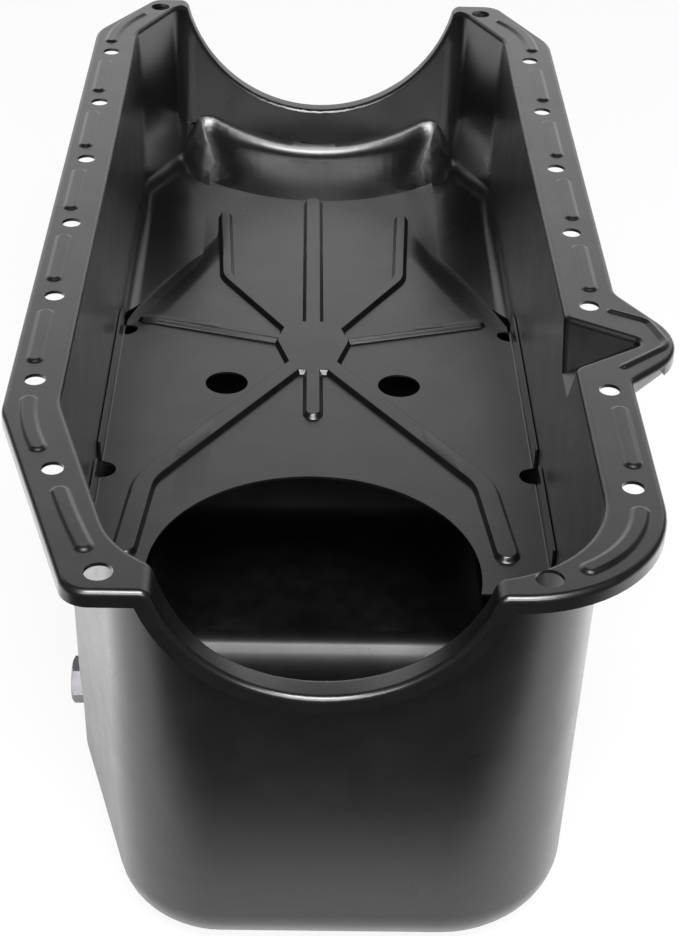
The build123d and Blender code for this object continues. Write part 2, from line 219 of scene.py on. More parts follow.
def slice_up(piece: bpy.types.Object, wanted: Callable[[object], bool], cuts: Iterable[Cut]) -> None:
    """Add edges to some faces of a piece along planes.

    Args:
        piece: The object in edit mode.
        wanted: Says whether a face is to be cut.
        cuts: Point and normal of each plane.
    """
    for point, normal in cuts:
        bpy.ops.mesh.select_all(action="DESELECT")
        if pick(piece, bmesh.from_edit_mesh(piece.data).faces, wanted):
            bpy.ops.mesh.bisect(plane_co=point, plane_no=normal)
    bpy.ops.mesh.select_all(action="DESELECT")


def roll_up(width: float, height: float, steps: int) -> None:
    """Raise the selected faces from their outline in a smooth S-shaped section.

    Args:
        width: Run of the section, in metres.
        height: Rise of the section, in metres.
        steps: Number of rings.
    """
    level = 0.0
    for step in range(1, steps + 1):
        target = height * (1 - math.cos(math.pi * step / steps)) / 2
        bpy.ops.mesh.inset(thickness=width / steps, depth=target - level, use_even_offset=True)
        level = target


def round_edges(piece: bpy.types.Object, width: float, segments: int, angle: float) -> None:
    """Round the sharp edges of a piece.

    Args:
        piece: The object to round.
        width: Width of the rounding, in metres.
        segments: Faces across it.
        angle: Smallest angle across a sharp edge, in degrees.
    """
    rounding = piece.modifiers.new("Rims", "BEVEL")
    rounding.width = width
    rounding.segments = segments
    rounding.limit_method = "ANGLE"
    rounding.angle_limit = math.radians(angle)
    take_up(piece)
    bpy.ops.object.modifier_apply(modifier=rounding.name)


def smooth(piece: bpy.types.Object, angle: float) -> None:
    """Shade a piece smooth up to an angle, with flat faces kept flat.

    Args:
        piece: The object to shade.
        angle: Largest angle across a smooth edge, in degrees.
    """
    take_up(piece)
    bpy.ops.object.shade_smooth_by_angle(angle=math.radians(angle), keep_sharp_edges=False)
    weighted = piece.modifiers.new("Flat faces", "WEIGHTED_NORMAL")
    weighted.keep_sharp = True
    weighted.weight = FACE_WEIGHT
    bpy.ops.object.modifier_apply(modifier=weighted.name)


def settle(piece: bpy.types.Object, body: Body, finish: bpy.types.Material) -> None:
    """Give a finished piece its material and body, and report it.

    Args:
        piece: The finished object, at the origin.
        body: Body that it rides on.
        finish: Its material.
    """
    piece.data.materials.clear()
    piece.data.materials.append(finish)
    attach(piece, body.value)
    faces = len(piece.data.polygons)
    log.info("%s rides on %s with %s, %d faces", piece.name, body.value, finish.name, faces)


# --- Finishes --------------------------------------------------------------------------------


class NodeBench:
    """Small helper that adds and links shader nodes in one node tree."""

    def __init__(self, tree: bpy.types.NodeTree) -> None:
        """Work in a node tree.

        Args:
            tree: The node tree.
        """
        self.tree = tree

    def add(self, kind: str, **settings: object) -> bpy.types.Node:
        """Add a node.

        Args:
            kind: Class name of the node.
            **settings: Properties of the node, or values of its inputs.

        Returns:
            The new node.
        """
        node = self.tree.nodes.new(kind)
        for key, value in settings.items():
            if hasattr(node, key):
                setattr(node, key, value)
            else:
                node.inputs[key.replace("_", " ")].default_value = value
        return node

    def link(self, source: bpy.types.NodeSocket, target: bpy.types.NodeSocket) -> None:
        """Link two sockets.

        Args:
            source: Output socket.
            target: Input socket.
        """
        self.tree.links.new(source, target)

    def split(self, place: bpy.types.NodeSocket) -> bpy.types.NodeOutputs:
        """Split a place into its coordinates.

        Args:
            place: The place.

        Returns:
            Its X, Y and Z.
        """
        node = self.add("ShaderNodeSeparateXYZ")
        self.link(place, node.inputs["Vector"])
        return node.outputs

    def ramp(self, source: bpy.types.NodeSocket, ends: Limits, results: Limits) -> bpy.types.NodeSocket:
        """Map a range of a value smoothly onto another.

        Args:
            source: The value.
            ends: Ends of its range.
            results: Results at those ends.

        Returns:
            The mapped value.
        """
        node = self.add("ShaderNodeMapRange", interpolation_type="SMOOTHSTEP")
        for socket, value in zip(("From Min", "From Max", "To Min", "To Max"), (*ends, *results)):
            node.inputs[socket].default_value = value
        self.link(source, node.inputs["Value"])
        return node.outputs["Result"]

    def times(self, one: bpy.types.NodeSocket, other: bpy.types.NodeSocket) -> bpy.types.NodeSocket:
        """Multiply two values.

        Args:
            one: First value.
            other: Second value.

        Returns:
            Their product.
        """
        node = self.add("ShaderNodeMath", operation="MULTIPLY")
        self.link(one, node.inputs[0])
        self.link(other, node.inputs[1])
        return node.outputs[0]

    def either(
        self, choice: bpy.types.NodeSocket, first: bpy.types.NodeSocket, second: bpy.types.NodeSocket
    ) -> bpy.types.NodeSocket:
        """Mix two shaders.

        Args:
            choice: Share of the second shader, from 0 to 1.
            first: First shader.
            second: Second shader.

        Returns:
            The mixed shader.
        """
        node = self.add("ShaderNodeMixShader")
        for source, target in zip((choice, first, second), node.inputs):
            self.link(source, target)
        return node.outputs[0]


class FinishBench(NodeBench):
    """Node helper for one material on object coordinates."""

    NOISE_MIDDLE: Limits = (0.3, 0.7)
    MIX_FIRST = 6
    MIX_SECOND = 7
    MIX_RESULT = 2

    def __init__(self, name: str) -> None:
        """Start an empty material.

        Args:
            name: Name of the material.
        """
        self.material = bpy.data.materials.new(name)
        self.material.use_nodes = True
        super().__init__(self.material.node_tree)
        self.shader = self.tree.nodes["Principled BSDF"]
        self.place = self.add("ShaderNodeTexCoord").outputs["Object"]

    def noise(self, grain: Grain) -> bpy.types.NodeSocket:
        """Add noise on object coordinates.

        Args:
            grain: Features per metre, and octaves.

        Returns:
            Its value, from 0 to 1.
        """
        scale, detail = grain
        node = self.add("ShaderNodeTexNoise", Scale=scale, Detail=detail)
        self.link(self.place, node.inputs["Vector"])
        return node.outputs["Fac"]

    def spread(self, value: bpy.types.NodeSocket, results: Limits) -> bpy.types.NodeSocket:
        """Map the middle of a noise onto a range.

        Args:
            value: Value from 0 to 1.
            results: Results at the ends of the noise's middle.

        Returns:
            The mapped value.
        """
        start, end = self.NOISE_MIDDLE
        low, high = results
        node = self.add("ShaderNodeMapRange", From_Min=start, From_Max=end, To_Min=low, To_Max=high)
        self.link(value, node.inputs["Value"])
        return node.outputs["Result"]

    def bump(
        self, height: bpy.types.NodeSocket, distance: float, below: bpy.types.NodeSocket | None = None
    ) -> bpy.types.NodeSocket:
        """Turn a height into a normal.

        Args:
            height: Height from 0 to 1.
            distance: Height of 1, in metres.
            below: Normal to build on, if any.

        Returns:
            The new normal.
        """
        node = self.add("ShaderNodeBump", Strength=1.0, Distance=distance)
        self.link(height, node.inputs["Height"])
        if below is not None:
            self.link(below, node.inputs["Normal"])
        return node.outputs["Normal"]

    def vary_roughness(self, grain: Grain, limits: Limits) -> None:
        """Vary the roughness.

        Args:
            grain: Features per metre, and octaves.
            limits: Least and most roughness.
        """
        self.link(self.spread(self.noise(grain), limits), self.shader.inputs["Roughness"])

    def vary_colour(self, grain: Grain, first: Colour, second: Colour) -> None:
        """Vary the base colour between two colours.

        Args:
            grain: Features per metre, and octaves.
            first: First colour.
            second: Second colour.
        """
        node = self.add("ShaderNodeMix", data_type="RGBA")
        self.link(self.spread(self.noise(grain), FULL), node.inputs["Factor"])
        node.inputs[self.MIX_FIRST].default_value = (*first, 1.0)
        node.inputs[self.MIX_SECOND].default_value = (*second, 1.0)
        self.link(node.outputs[self.MIX_RESULT], self.shader.inputs["Base Color"])


@dataclass(frozen=True)
class SatinBlackPaint:
    """Baked satin black paint on pressed steel."""

    name: str
    colour: Colour = (0.0020, 0.0019, 0.0021)
    dusty: Colour = (0.0055, 0.0052, 0.0056)
    dust: Grain = (95.0, 8.0)
    roughness: Limits = (0.27, 0.35)
    haze: Grain = (44.0, 5.0)
    refraction: float = 1.5
    coat: float = 1.0
    coat_roughness: float = 0.26
    peel: Grain = (620.0, 1.0)
    peel_height: float = 0.006 * MM
    draw: Grain = (26.0, 1.0)
    draw_height: float = 0.16 * MM

    def build(self) -> bpy.types.Material:
        """Make the material.

        Returns:
            The finished material.
        """
        bench = FinishBench(self.name)
        drawn = bench.bump(bench.noise(self.draw), self.draw_height)
        normal = bench.bump(bench.noise(self.peel), self.peel_height, drawn)
        bench.link(normal, bench.shader.inputs["Normal"])
        bench.link(normal, bench.shader.inputs["Coat Normal"])
        bench.vary_roughness(self.haze, self.roughness)
        bench.vary_colour(self.dust, self.colour, self.dusty)
        bench.shader.inputs["IOR"].default_value = self.refraction
        bench.shader.inputs["Coat Weight"].default_value = self.coat
        bench.shader.inputs["Coat Roughness"].default_value = self.coat_roughness
        return bench.material


@dataclass(frozen=True)
class PlatedSteel:
    """Dull plated steel with fine turning marks about the X axis."""

    name: str
    centre: Vector
    colour: Colour = (0.30, 0.285, 0.32)
    worn: Colour = (0.40, 0.385, 0.41)
    wear: Grain = (140.0, 4.0)
    roughness: Limits = (0.30, 0.42)
    haze: Grain = (260.0, 4.0)
    marks: float = 900.0
    mark_waver: float = 0.6
    mark_height: float = 0.004 * MM
    grain: Grain = (1500.0, 2.0)
    grain_height: float = 0.003 * MM

    def build(self) -> bpy.types.Material:
        """Make the material.

        Returns:
            The finished material.
        """
        bench = FinishBench(self.name)
        middle = bench.add("ShaderNodeMapping", vector_type="POINT")
        middle.inputs["Location"].default_value = -self.centre
        bench.link(bench.place, middle.inputs["Vector"])
        rings = bench.add(
            "ShaderNodeTexWave", wave_type="RINGS", rings_direction="X",
            Scale=self.marks, Distortion=self.mark_waver,
        )
        bench.link(middle.outputs["Vector"], rings.inputs["Vector"])
        turned = bench.bump(rings.outputs["Fac"], self.mark_height)
        normal = bench.bump(bench.noise(self.grain), self.grain_height, turned)
        bench.link(normal, bench.shader.inputs["Normal"])
        bench.vary_roughness(self.haze, self.roughness)
        bench.vary_colour(self.wear, self.colour, self.worn)
        bench.shader.inputs["Metallic"].default_value = 1.0
        return bench.material


@dataclass(frozen=True)
class MouldedNylon:
    """Dark moulded nylon of a sealing washer."""

    name: str
    colour: Colour = (0.030, 0.030, 0.034)
    pale: Colour = (0.055, 0.055, 0.060)
    mottle: Grain = (220.0, 5.0)
    roughness: Limits = (0.42, 0.58)
    haze: Grain = (300.0, 3.0)
    grain: Grain = (1800.0, 3.0)
    grain_height: float = 0.01 * MM

    def build(self) -> bpy.types.Material:
        """Make the material.

        Returns:
            The finished material.
        """
        bench = FinishBench(self.name)
        bench.link(bench.bump(bench.noise(self.grain), self.grain_height), bench.shader.inputs["Normal"])
        bench.vary_roughness(self.haze, self.roughness)
        bench.vary_colour(self.mottle, self.colour, self.pale)
        return bench.material


# --- Pieces ----------------------------------------------------------------------------------


@dataclass
class PressedPan:
    """The pan: one pressing with a beaded rail, seal seats and a stepped sump."""

    node: str = "pan_body"
    sheet: float = 1.5 * MM
    soft_angle: float = 32.0

    # Section of the beads on the rail.
    bead_run: float = 2.6 * MM
    bead_rise: float = 1.15 * MM
    bead_steps: int = 6

    # Shallow floor, front wall and the trough round the crank.
    floor_z: float = -101.0 * MM
    wall_y: float = 250.5 * MM
    wall_lean: float = 0.014
    trough_radius: float = 110.0 * MM
    crank_height: float = 16.0 * MM

    # Shelf: radius and place of its curved foot, its width, its fading sides and its root at the
    # wall.  The added rows count back from the wall, and rows and columns are in millimetres.
    shelf_edge: float = 100.0 * MM
    shelf_nose_y: float = 191.5 * MM
    shelf_half_width: float = 90.0 * MM
    shelf_fade: float = 46.0 * MM
    root_radius: float = 8.0 * MM
    shelf_rows: tuple[float, ...] = (2.0, 3.2, 5, 7.2, 10, 13.5, 18, 23, 28, 33, 38, 43, 48, 53)
    column_gap: int = 5
    side_columns: int = 17

    # Step across the sump floor.
    step_z: float = -165.0 * MM
    step_y: Limits = (-125.0 * MM, -95.0 * MM)
    step_shift: float = -12.0 * MM
    step_stretch: float = 1.5

    # Pocket under the bulge of the rail.
    pocket_low: Vector = Vector((104.5 * MM, -162.0 * MM, -50.0 * MM))
    pocket_high: Vector = Vector((142.0 * MM, -112.0 * MM, -3.0 * MM))
    pocket_middle_y: float = -137.0 * MM
    pocket_share: float = 0.5
    pocket_taper: float = 0.65

    def build(self, finish: bpy.types.Material) -> None:
        """Make the pan and put it in place of its solid.

        Args:
            finish: Paint of the sheet.
        """
        piece = merged_copy(self.node, "pressed_pan")
        self.roll_beads(piece)
        self.ease_shelf(piece)
        self.ease_step(piece)
        self.ease_pocket(piece)
        smooth(piece, self.soft_angle)
        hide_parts(self.node)
        settle(piece, Body.PAN, finish)

    def roll_beads(self, piece: bpy.types.Object) -> None:
        """Give the beads of the rail their soft rolled section.

        Args:
            piece: The pan.
        """
        mesh = edit(piece)
        raised = self.bead_rise / 10
        pick(piece, mesh.faces, lambda face: face.calc_center_median().z > raised)
        bpy.ops.mesh.dissolve_faces()
        roll_up(self.bead_run, self.bead_rise, self.bead_steps)
        close(piece)

    def past_nose(self, x: float, y: float) -> float:
        """Measure how far a point lies inside the curved foot of the shelf.

        Args:
            x: Its place across the pan.
            y: Its place along the pan.

        Returns:
            The distance, in metres.
        """
        return self.shelf_edge - math.hypot(x, y - self.shelf_nose_y - self.shelf_edge)

    def trough(self, x: float) -> float:
        """Give the height of the trough round the crank.

        Args:
            x: Place across the pan.

        Returns:
            Its height, in metres.
        """
        return self.crank_height - math.sqrt(self.trough_radius**2 - x * x)

    def swell(self, x: float, y: float, skin: float) -> float:
        """Give the height of the eased shelf: a swell that runs up into the wall.

        Args:
            x: Place across the pan.
            y: Place along the pan.
            skin: Thickness taken off, 0 for the inside of the pan.

        Returns:
            The height, in metres.
        """
        wall = self.wall_y + self.trough(x) * self.wall_lean
        reach = max(self.past_nose(x, wall), self.root_radius)
        along = share_of(self.past_nose(x, y), reach)
        rise = self.trough(x) - self.floor_z
        power = 1 + (x / self.shelf_half_width) ** 2
        slope = power * rise / reach * along ** (power - 1)
        height = self.floor_z + rise * along**power - skin * math.hypot(1, slope)
        radius = self.root_radius + skin
        near = min(max(radius - (wall + skin - y), 0.0), radius)
        return height + radius - math.sqrt(radius**2 - near**2)

    def on_shelf(self, place: Vector) -> bool:
        """Say whether a place lies on either skin of the shelf.

        Args:
            place: The place.

        Returns:
            Whether it does.
        """
        return (
            abs(place.x) < self.shelf_half_width
            and self.past_nose(place.x, place.y) > -self.sheet
            and place.y < self.wall_y + self.sheet
            and self.floor_z - 2 * self.sheet < place.z < self.trough(place.x) + self.sheet / 2
        )

    def ease_shelf(self, piece: bpy.types.Object) -> None:
        """Ease the shelf at the front of the floor into the floor and the wall.

        Args:
            piece: The pan.
        """
        rows = [self.wall_y - gap * MM for gap in self.shelf_rows]
        columns = [step * self.column_gap * MM for step in range(-self.side_columns, self.side_columns + 1)]
        edit(piece)
        slice_up(
            piece,
            lambda face: self.on_shelf(face.calc_center_median()),
            [(ALONG * y, ALONG) for y in rows] + [(ACROSS * x, ACROSS) for x in columns],
        )
        mesh = bmesh.from_edit_mesh(piece.data)
        mesh.normal_update()
        for vertex in [vertex for vertex in mesh.verts if self.on_shelf(vertex.co)]:
            x, y, z = vertex.co
            skin = 0.0 if vertex.normal.z > 0 else self.sheet
            share = share_of(self.shelf_half_width - abs(x), self.shelf_fade)
            rise = (self.swell(x, y, skin) - z) * eased(share)
            vertex.co.z += rise
            vertex.co.y += rise * self.wall_lean if y > self.wall_y - self.sheet else 0.0
        close(piece)

    def ease_step(self, piece: bpy.types.Object) -> None:
        """Make the step in the sump floor longer, and set it back.

        Args:
            piece: The pan.
        """
        mesh = edit(piece)
        low, high = self.step_y
        middle = (low + high) / 2
        for vertex in mesh.verts:
            if low < vertex.co.y < high and vertex.co.z < self.step_z:
                vertex.co.y = middle + self.step_shift + (vertex.co.y - middle) * self.step_stretch
        close(piece)

    def ease_pocket(self, piece: bpy.types.Object) -> None:
        """Make the pocket under the rail's bulge shallower and lean its sides.

        Args:
            piece: The pan.
        """
        mesh = edit(piece)
        low, high = self.pocket_low, self.pocket_high
        for vertex in mesh.verts:
            if all(low[axis] < vertex.co[axis] < high[axis] for axis in range(3)):
                lean = 1 - self.pocket_taper * vertex.co.z / low.z
                vertex.co.y = self.pocket_middle_y + (vertex.co.y - self.pocket_middle_y) * lean
                vertex.co.x -= vertex.co.z * (1 - self.pocket_share) * self.wall_lean
                vertex.co.z *= self.pocket_share
        close(piece)


@dataclass
class WindageTray:
    """The tray over the sump, with ribs pressed up round a hub."""

    node: str = "windage_tray"
    sheet: float = 1.2 * MM
    soft_angle: float = 35.0

    # Section of the ribs, and what tells their upper faces from the rest.
    rib_run: float = 2.3 * MM
    rib_rise: float = 2.6 * MM
    rib_steps: int = 8
    rib_least: float = 0.05 * MM
    rib_upward: float = 0.1
    fold_inset: float = 4.0 * MM

    # Rounding of the cut edges.
    rim: float = 0.4 * MM
    rim_segments: int = 2
    rim_angle: float = 75.0

    # Ends of the slanting front edge and of the tongue's side, and the rise behind them.
    shoulder_wall: Vector = Vector((101.5 * MM, 48.0 * MM, 0))
    shoulder_tongue: Vector = Vector((67.5 * MM, 126.0 * MM, 0))
    tongue_tip_y: float = 182.0 * MM
    press_width: float = 17.0 * MM
    press_rise: float = 2.4 * MM
    press_steps: int = 7

    def build(self, finish: bpy.types.Material) -> None:
        """Make the tray and put it in place of its solid.

        Args:
            finish: Paint of the tray.
        """
        piece = merged_copy(self.node, "windage_tray_pressed")
        self.roll_ribs(piece)
        round_edges(piece, self.rim, self.rim_segments, self.rim_angle)
        self.press_shoulders(piece)
        smooth(piece, self.soft_angle)
        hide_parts(self.node)
        settle(piece, Body.PAN, finish)

    def roll_ribs(self, piece: bpy.types.Object) -> None:
        """Give the ribs and the hub their soft pressed section.

        Args:
            piece: The tray.
        """
        low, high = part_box(self.node)
        top = low.z + self.sheet
        inner = high.x - self.fold_inset

        def in_rib(face: bmesh.types.BMFace) -> bool:
            """Say whether a face belongs to the upper side of a rib."""
            middle = face.calc_center_median()
            raised = middle.z > top + self.rib_least
            return raised and abs(middle.x) < inner and face.normal.z > self.rib_upward

        mesh = edit(piece)
        pick(piece, mesh.faces, in_rib)
        bpy.ops.mesh.dissolve_faces()
        roll_up(self.rib_run, self.rib_rise, self.rib_steps)
        close(piece)

    def inside(self, place: Vector) -> float:
        """Measure how far a place lies from the slanting front edges and the tongue's sides.

        Args:
            place: The place.

        Returns:
            The distance, in metres.
        """
        flat = Vector((abs(place.x), place.y, 0))
        wall, root = self.shoulder_wall, self.shoulder_tongue
        tip = Vector((root.x, self.tongue_tip_y, 0))
        gaps = []
        for first, last in ((wall, root), (root, tip)):
            along = last - first
            share = share_of((flat - first).dot(along), along.length_squared)
            gaps.append((flat - first - along * share).length)
        return min(gaps)

    def shoulder_cuts(self) -> list[Cut]:
        """List the planes that follow the slanting front edges and the tongue's sides.

        Returns:
            Point and normal of each plane.
        """
        wall, root = self.shoulder_wall, self.shoulder_tongue
        edge = (root - wall).normalized()
        gaps = [self.press_width * step / self.press_steps for step in range(self.press_steps + 1)]
        cuts = []
        for side in (-1, 1):
            normal = Vector((-edge.y * side, edge.x, 0))
            start = Vector((wall.x * side, wall.y, 0))
            cuts += [(start + normal * gap, normal) for gap in gaps]
            cuts += [(ACROSS * (root.x - gap) * side, ACROSS) for gap in gaps]
        return cuts

    def press_shoulders(self, piece: bpy.types.Object) -> None:
        """Raise the middle of the tray a little above its front edges and the sides of its tongue.

        Args:
            piece: The tray.
        """
        reach = self.press_width * 2
        edit(piece)
        slice_up(
            piece, lambda face: any(self.inside(vertex.co) < reach for vertex in face.verts),
            self.shoulder_cuts(),
        )
        mesh = bmesh.from_edit_mesh(piece.data)
        for vertex in mesh.verts:
            vertex.co.z += self.press_rise * eased(share_of(self.inside(vertex.co), self.press_width))
        close(piece)


@dataclass
class DrainBush:
    """The threaded bush inside the sump wall, and the weld that holds it."""

    node: str = "drain_bush"
    soft_angle: float = 30.0
    weld_radius: float = 1.7 * MM
    weld_segments: tuple[int, int] = (96, 16)
    weld_angle: float = 60.0
    ripples: int = 26
    ripple_share: float = 0.10

    def build(self, finish: bpy.types.Material) -> None:
        """Dress the bush and add its weld.

        Args:
            finish: Paint of the bush.
        """
        piece = merged_copy(self.node, "bush_turned")
        smooth(piece, self.soft_angle)
        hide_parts(self.node)
        settle(piece, Body.PAN, finish)
        self.weld(finish)

    def weld(self, finish: bpy.types.Material) -> None:
        """Run a rippled weld round the foot of the bush.

        Args:
            finish: Paint of the bush.
        """
        low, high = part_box(self.node)
        middle = (low + high) / 2
        radius = (high.y - low.y) / 2
        around, across = self.weld_segments
        bpy.ops.object.select_all(action="DESELECT")
        bpy.ops.mesh.primitive_torus_add(
            location=(low.x, middle.y, middle.z), rotation=(0, math.pi / 2, 0),
            major_radius=radius + self.weld_radius / 3, minor_radius=self.weld_radius,
            major_segments=around, minor_segments=across,
        )
        piece = take_new("bush_weld")
        mesh = edit(piece, "VERT")
        for vertex in mesh.verts:
            away = Vector((0, vertex.co.y - middle.y, vertex.co.z - middle.z))
            ripple = math.sin(math.atan2(away.z, away.y) * self.ripples)
            vertex.co += away.normalized() * ripple * self.weld_radius * self.ripple_share
        close(piece)
        smooth(piece, self.weld_angle)
        settle(piece, Body.PAN, finish)


@dataclass
class DrainPlug:
    """The hexagon-headed plug with its collar and its cut thread."""

    node: str = "drain_plug"
    soft_angle: float = 25.0

    # Thread: its flank goes along and up from the root, in shares of the pitch and of the height.
    thread_radius: float = 6.35 * MM
    root_radius: float = 5.60 * MM
    pitch: float = 1.27 * MM
    segments: int = 40
    flank: tuple[Pair, ...] = ((0.0, 0.0), (0.40, 1.0), (0.55, 1.0), (0.95, 0.0))
    thread_angle: float = 20.0
    thread_start: float = 0.6 * MM
    bare_tip: float = 1.0 * MM

    # Core of the shank: it starts inside the head and is a little thicker than the root.
    head_cut: float = 0.1 * MM
    core_start: float = 0.5 * MM
    core_extra: float = 0.02 * MM
    end_rings: Pair = (0.8 * MM, 0.4 * MM)
    end_facing: float = 0.9
    chamfer: float = 0.7 * MM
    chamfer_segments: int = 2
    tip_slack: float = 0.01 * MM
    rim_slack: float = 0.05 * MM

    seat: float = field(init=False)
    tip: float = field(init=False)
    centre: Vector = field(init=False)

    def __post_init__(self) -> None:
        """Read the plug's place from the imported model."""
        low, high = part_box(self.node)
        self.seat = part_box("drain_gasket")[0].x
        self.tip = high.x
        self.centre = Vector((0, (low.y + high.y) / 2, (low.z + high.z) / 2))

    def build(self, finish: bpy.types.Material) -> None:
        """Make the plug in place of its solid.

        Args:
            finish: Plating of the plug.
        """
        piece = merged_copy(self.node, "plug_head")
        self.trim_shank(piece)
        smooth(piece, self.soft_angle)
        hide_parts(self.node)
        settle(piece, Body.PLUG, finish)
        self.shank(finish)
        self.thread(finish)

    def trim_shank(self, piece: bpy.types.Object) -> None:
        """Cut the plain shank off behind the collar.

        Args:
            piece: The plug's head, collar and shank.
        """
        edit(piece)
        bpy.ops.mesh.select_all(action="SELECT")
        bpy.ops.mesh.bisect(
            plane_co=(self.seat + self.head_cut, 0, 0), plane_no=(1, 0, 0), use_fill=True, clear_outer=True
        )
        close(piece)

    def on_tip_rim(self, edge: bmesh.types.BMEdge) -> bool:
        """Say whether an edge of the core lies on the rim of its tip.

        Args:
            edge: The edge.

        Returns:
            Whether it does.
        """
        return all(
            vertex.co.x > self.tip - self.tip_slack
            and (vertex.co.yz - self.centre.yz).length > self.root_radius - self.rim_slack
            for vertex in edge.verts
        )

    def shank(self, finish: bpy.types.Material) -> None:
        """Make the core of the shank, with its chamfered tip.

        Args:
            finish: Plating of the plug.
        """
        start = self.seat - self.core_start
        bpy.ops.object.select_all(action="DESELECT")
        bpy.ops.mesh.primitive_cylinder_add(
            vertices=self.segments, radius=self.root_radius + self.core_extra, depth=self.tip - start,
            location=((start + self.tip) / 2, self.centre.y, self.centre.z), rotation=(0, math.pi / 2, 0),
        )
        piece = take_new("plug_shank")
        mesh = edit(piece)
        pick(piece, mesh.faces, lambda face: face.normal.x > self.end_facing)
        for width in self.end_rings:
            bpy.ops.mesh.inset(thickness=width)
        close(piece)
        mesh = edit(piece, "EDGE")
        pick(piece, mesh.edges, self.on_tip_rim)
        bpy.ops.mesh.bevel(offset=self.chamfer, segments=self.chamfer_segments)
        close(piece)
        smooth(piece, self.soft_angle)
        settle(piece, Body.PLUG, finish)

    def flank_line(self, start: float) -> bpy.types.Mesh:
        """Draw the thread's flank as a line beside the X axis.

        Args:
            start: Place of the first turn along the axis.

        Returns:
            The line's mesh.
        """
        height = self.thread_radius - self.root_radius
        line = bpy.data.meshes.new("plug_thread")
        line.from_pydata(
            [(start + along * self.pitch, 0, self.root_radius + up * height) for along, up in self.flank],
            [(corner, corner + 1) for corner in range(len(self.flank) - 1)], [],
        )
        return line

    def thread(self, finish: bpy.types.Material) -> None:
        """Wind the thread along the shank.

        Args:
            finish: Plating of the plug.
        """
        start = self.seat + self.thread_start
        piece = bpy.data.objects.new("plug_thread", self.flank_line(start))
        bpy.context.scene.collection.objects.link(piece)
        take_up(piece)
        wind = piece.modifiers.new("Thread", "SCREW")
        wind.axis = "X"
        wind.screw_offset = self.pitch
        wind.iterations = int((self.tip - self.bare_tip - start) / self.pitch) - 1
        wind.steps = wind.render_steps = self.segments
        wind.use_normal_calculate = True
        bpy.ops.object.modifier_apply(modifier=wind.name)
        piece.location = (0, self.centre.y, self.centre.z)
        bpy.ops.object.transform_apply(location=True, rotation=True, scale=True)
        edit(piece)
        bpy.ops.mesh.select_all(action="SELECT")
        bpy.ops.mesh.remove_doubles(threshold=MERGE_GAP)
        bpy.ops.mesh.normals_make_consistent(inside=False)
        close(piece)
        smooth(piece, self.thread_angle)
        settle(piece, Body.PLUG, finish)


@dataclass
class SealingWasher:
    """The sealing washer under the plug's collar."""

    node: str = "drain_gasket"
    rim: float = 0.4 * MM
    rim_segments: int = 3
    rim_angle: float = 50.0
    soft_angle: float = 30.0

    def build(self, finish: bpy.types.Material) -> None:
        """Make the washer with rounded rims in place of its solid.

        Args:
            finish: Its moulded finish.
        """
        piece = merged_copy(self.node, "washer_moulded")
        round_edges(piece, self.rim, self.rim_segments, self.rim_angle)
        smooth(piece, self.soft_angle)
        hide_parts(self.node)
        settle(piece, Body.WASHER, finish)


# --- Studio ----------------------------------------------------------------------------------


@dataclass(frozen=True)
class Softbox:
    """One rectangular studio lamp that looks at a point."""

    name: str
    place: Place
    size: Pair
    watts: float
    aim: Place = (0.0, -0.05, -0.08)

    def build(self) -> None:
        """Hang the lamp."""
        lamp = bpy.data.lights.new(self.name, "AREA")
        lamp.shape = "RECTANGLE"
        lamp.size, lamp.size_y = self.size
        lamp.energy = self.watts
        stand = bpy.data.objects.new(self.name, lamp)
        stand.location = self.place
        stand.rotation_euler = (Vector(self.aim) - Vector(self.place)).to_track_quat("-Z", "Y").to_euler()
        bpy.context.scene.collection.objects.link(stand)


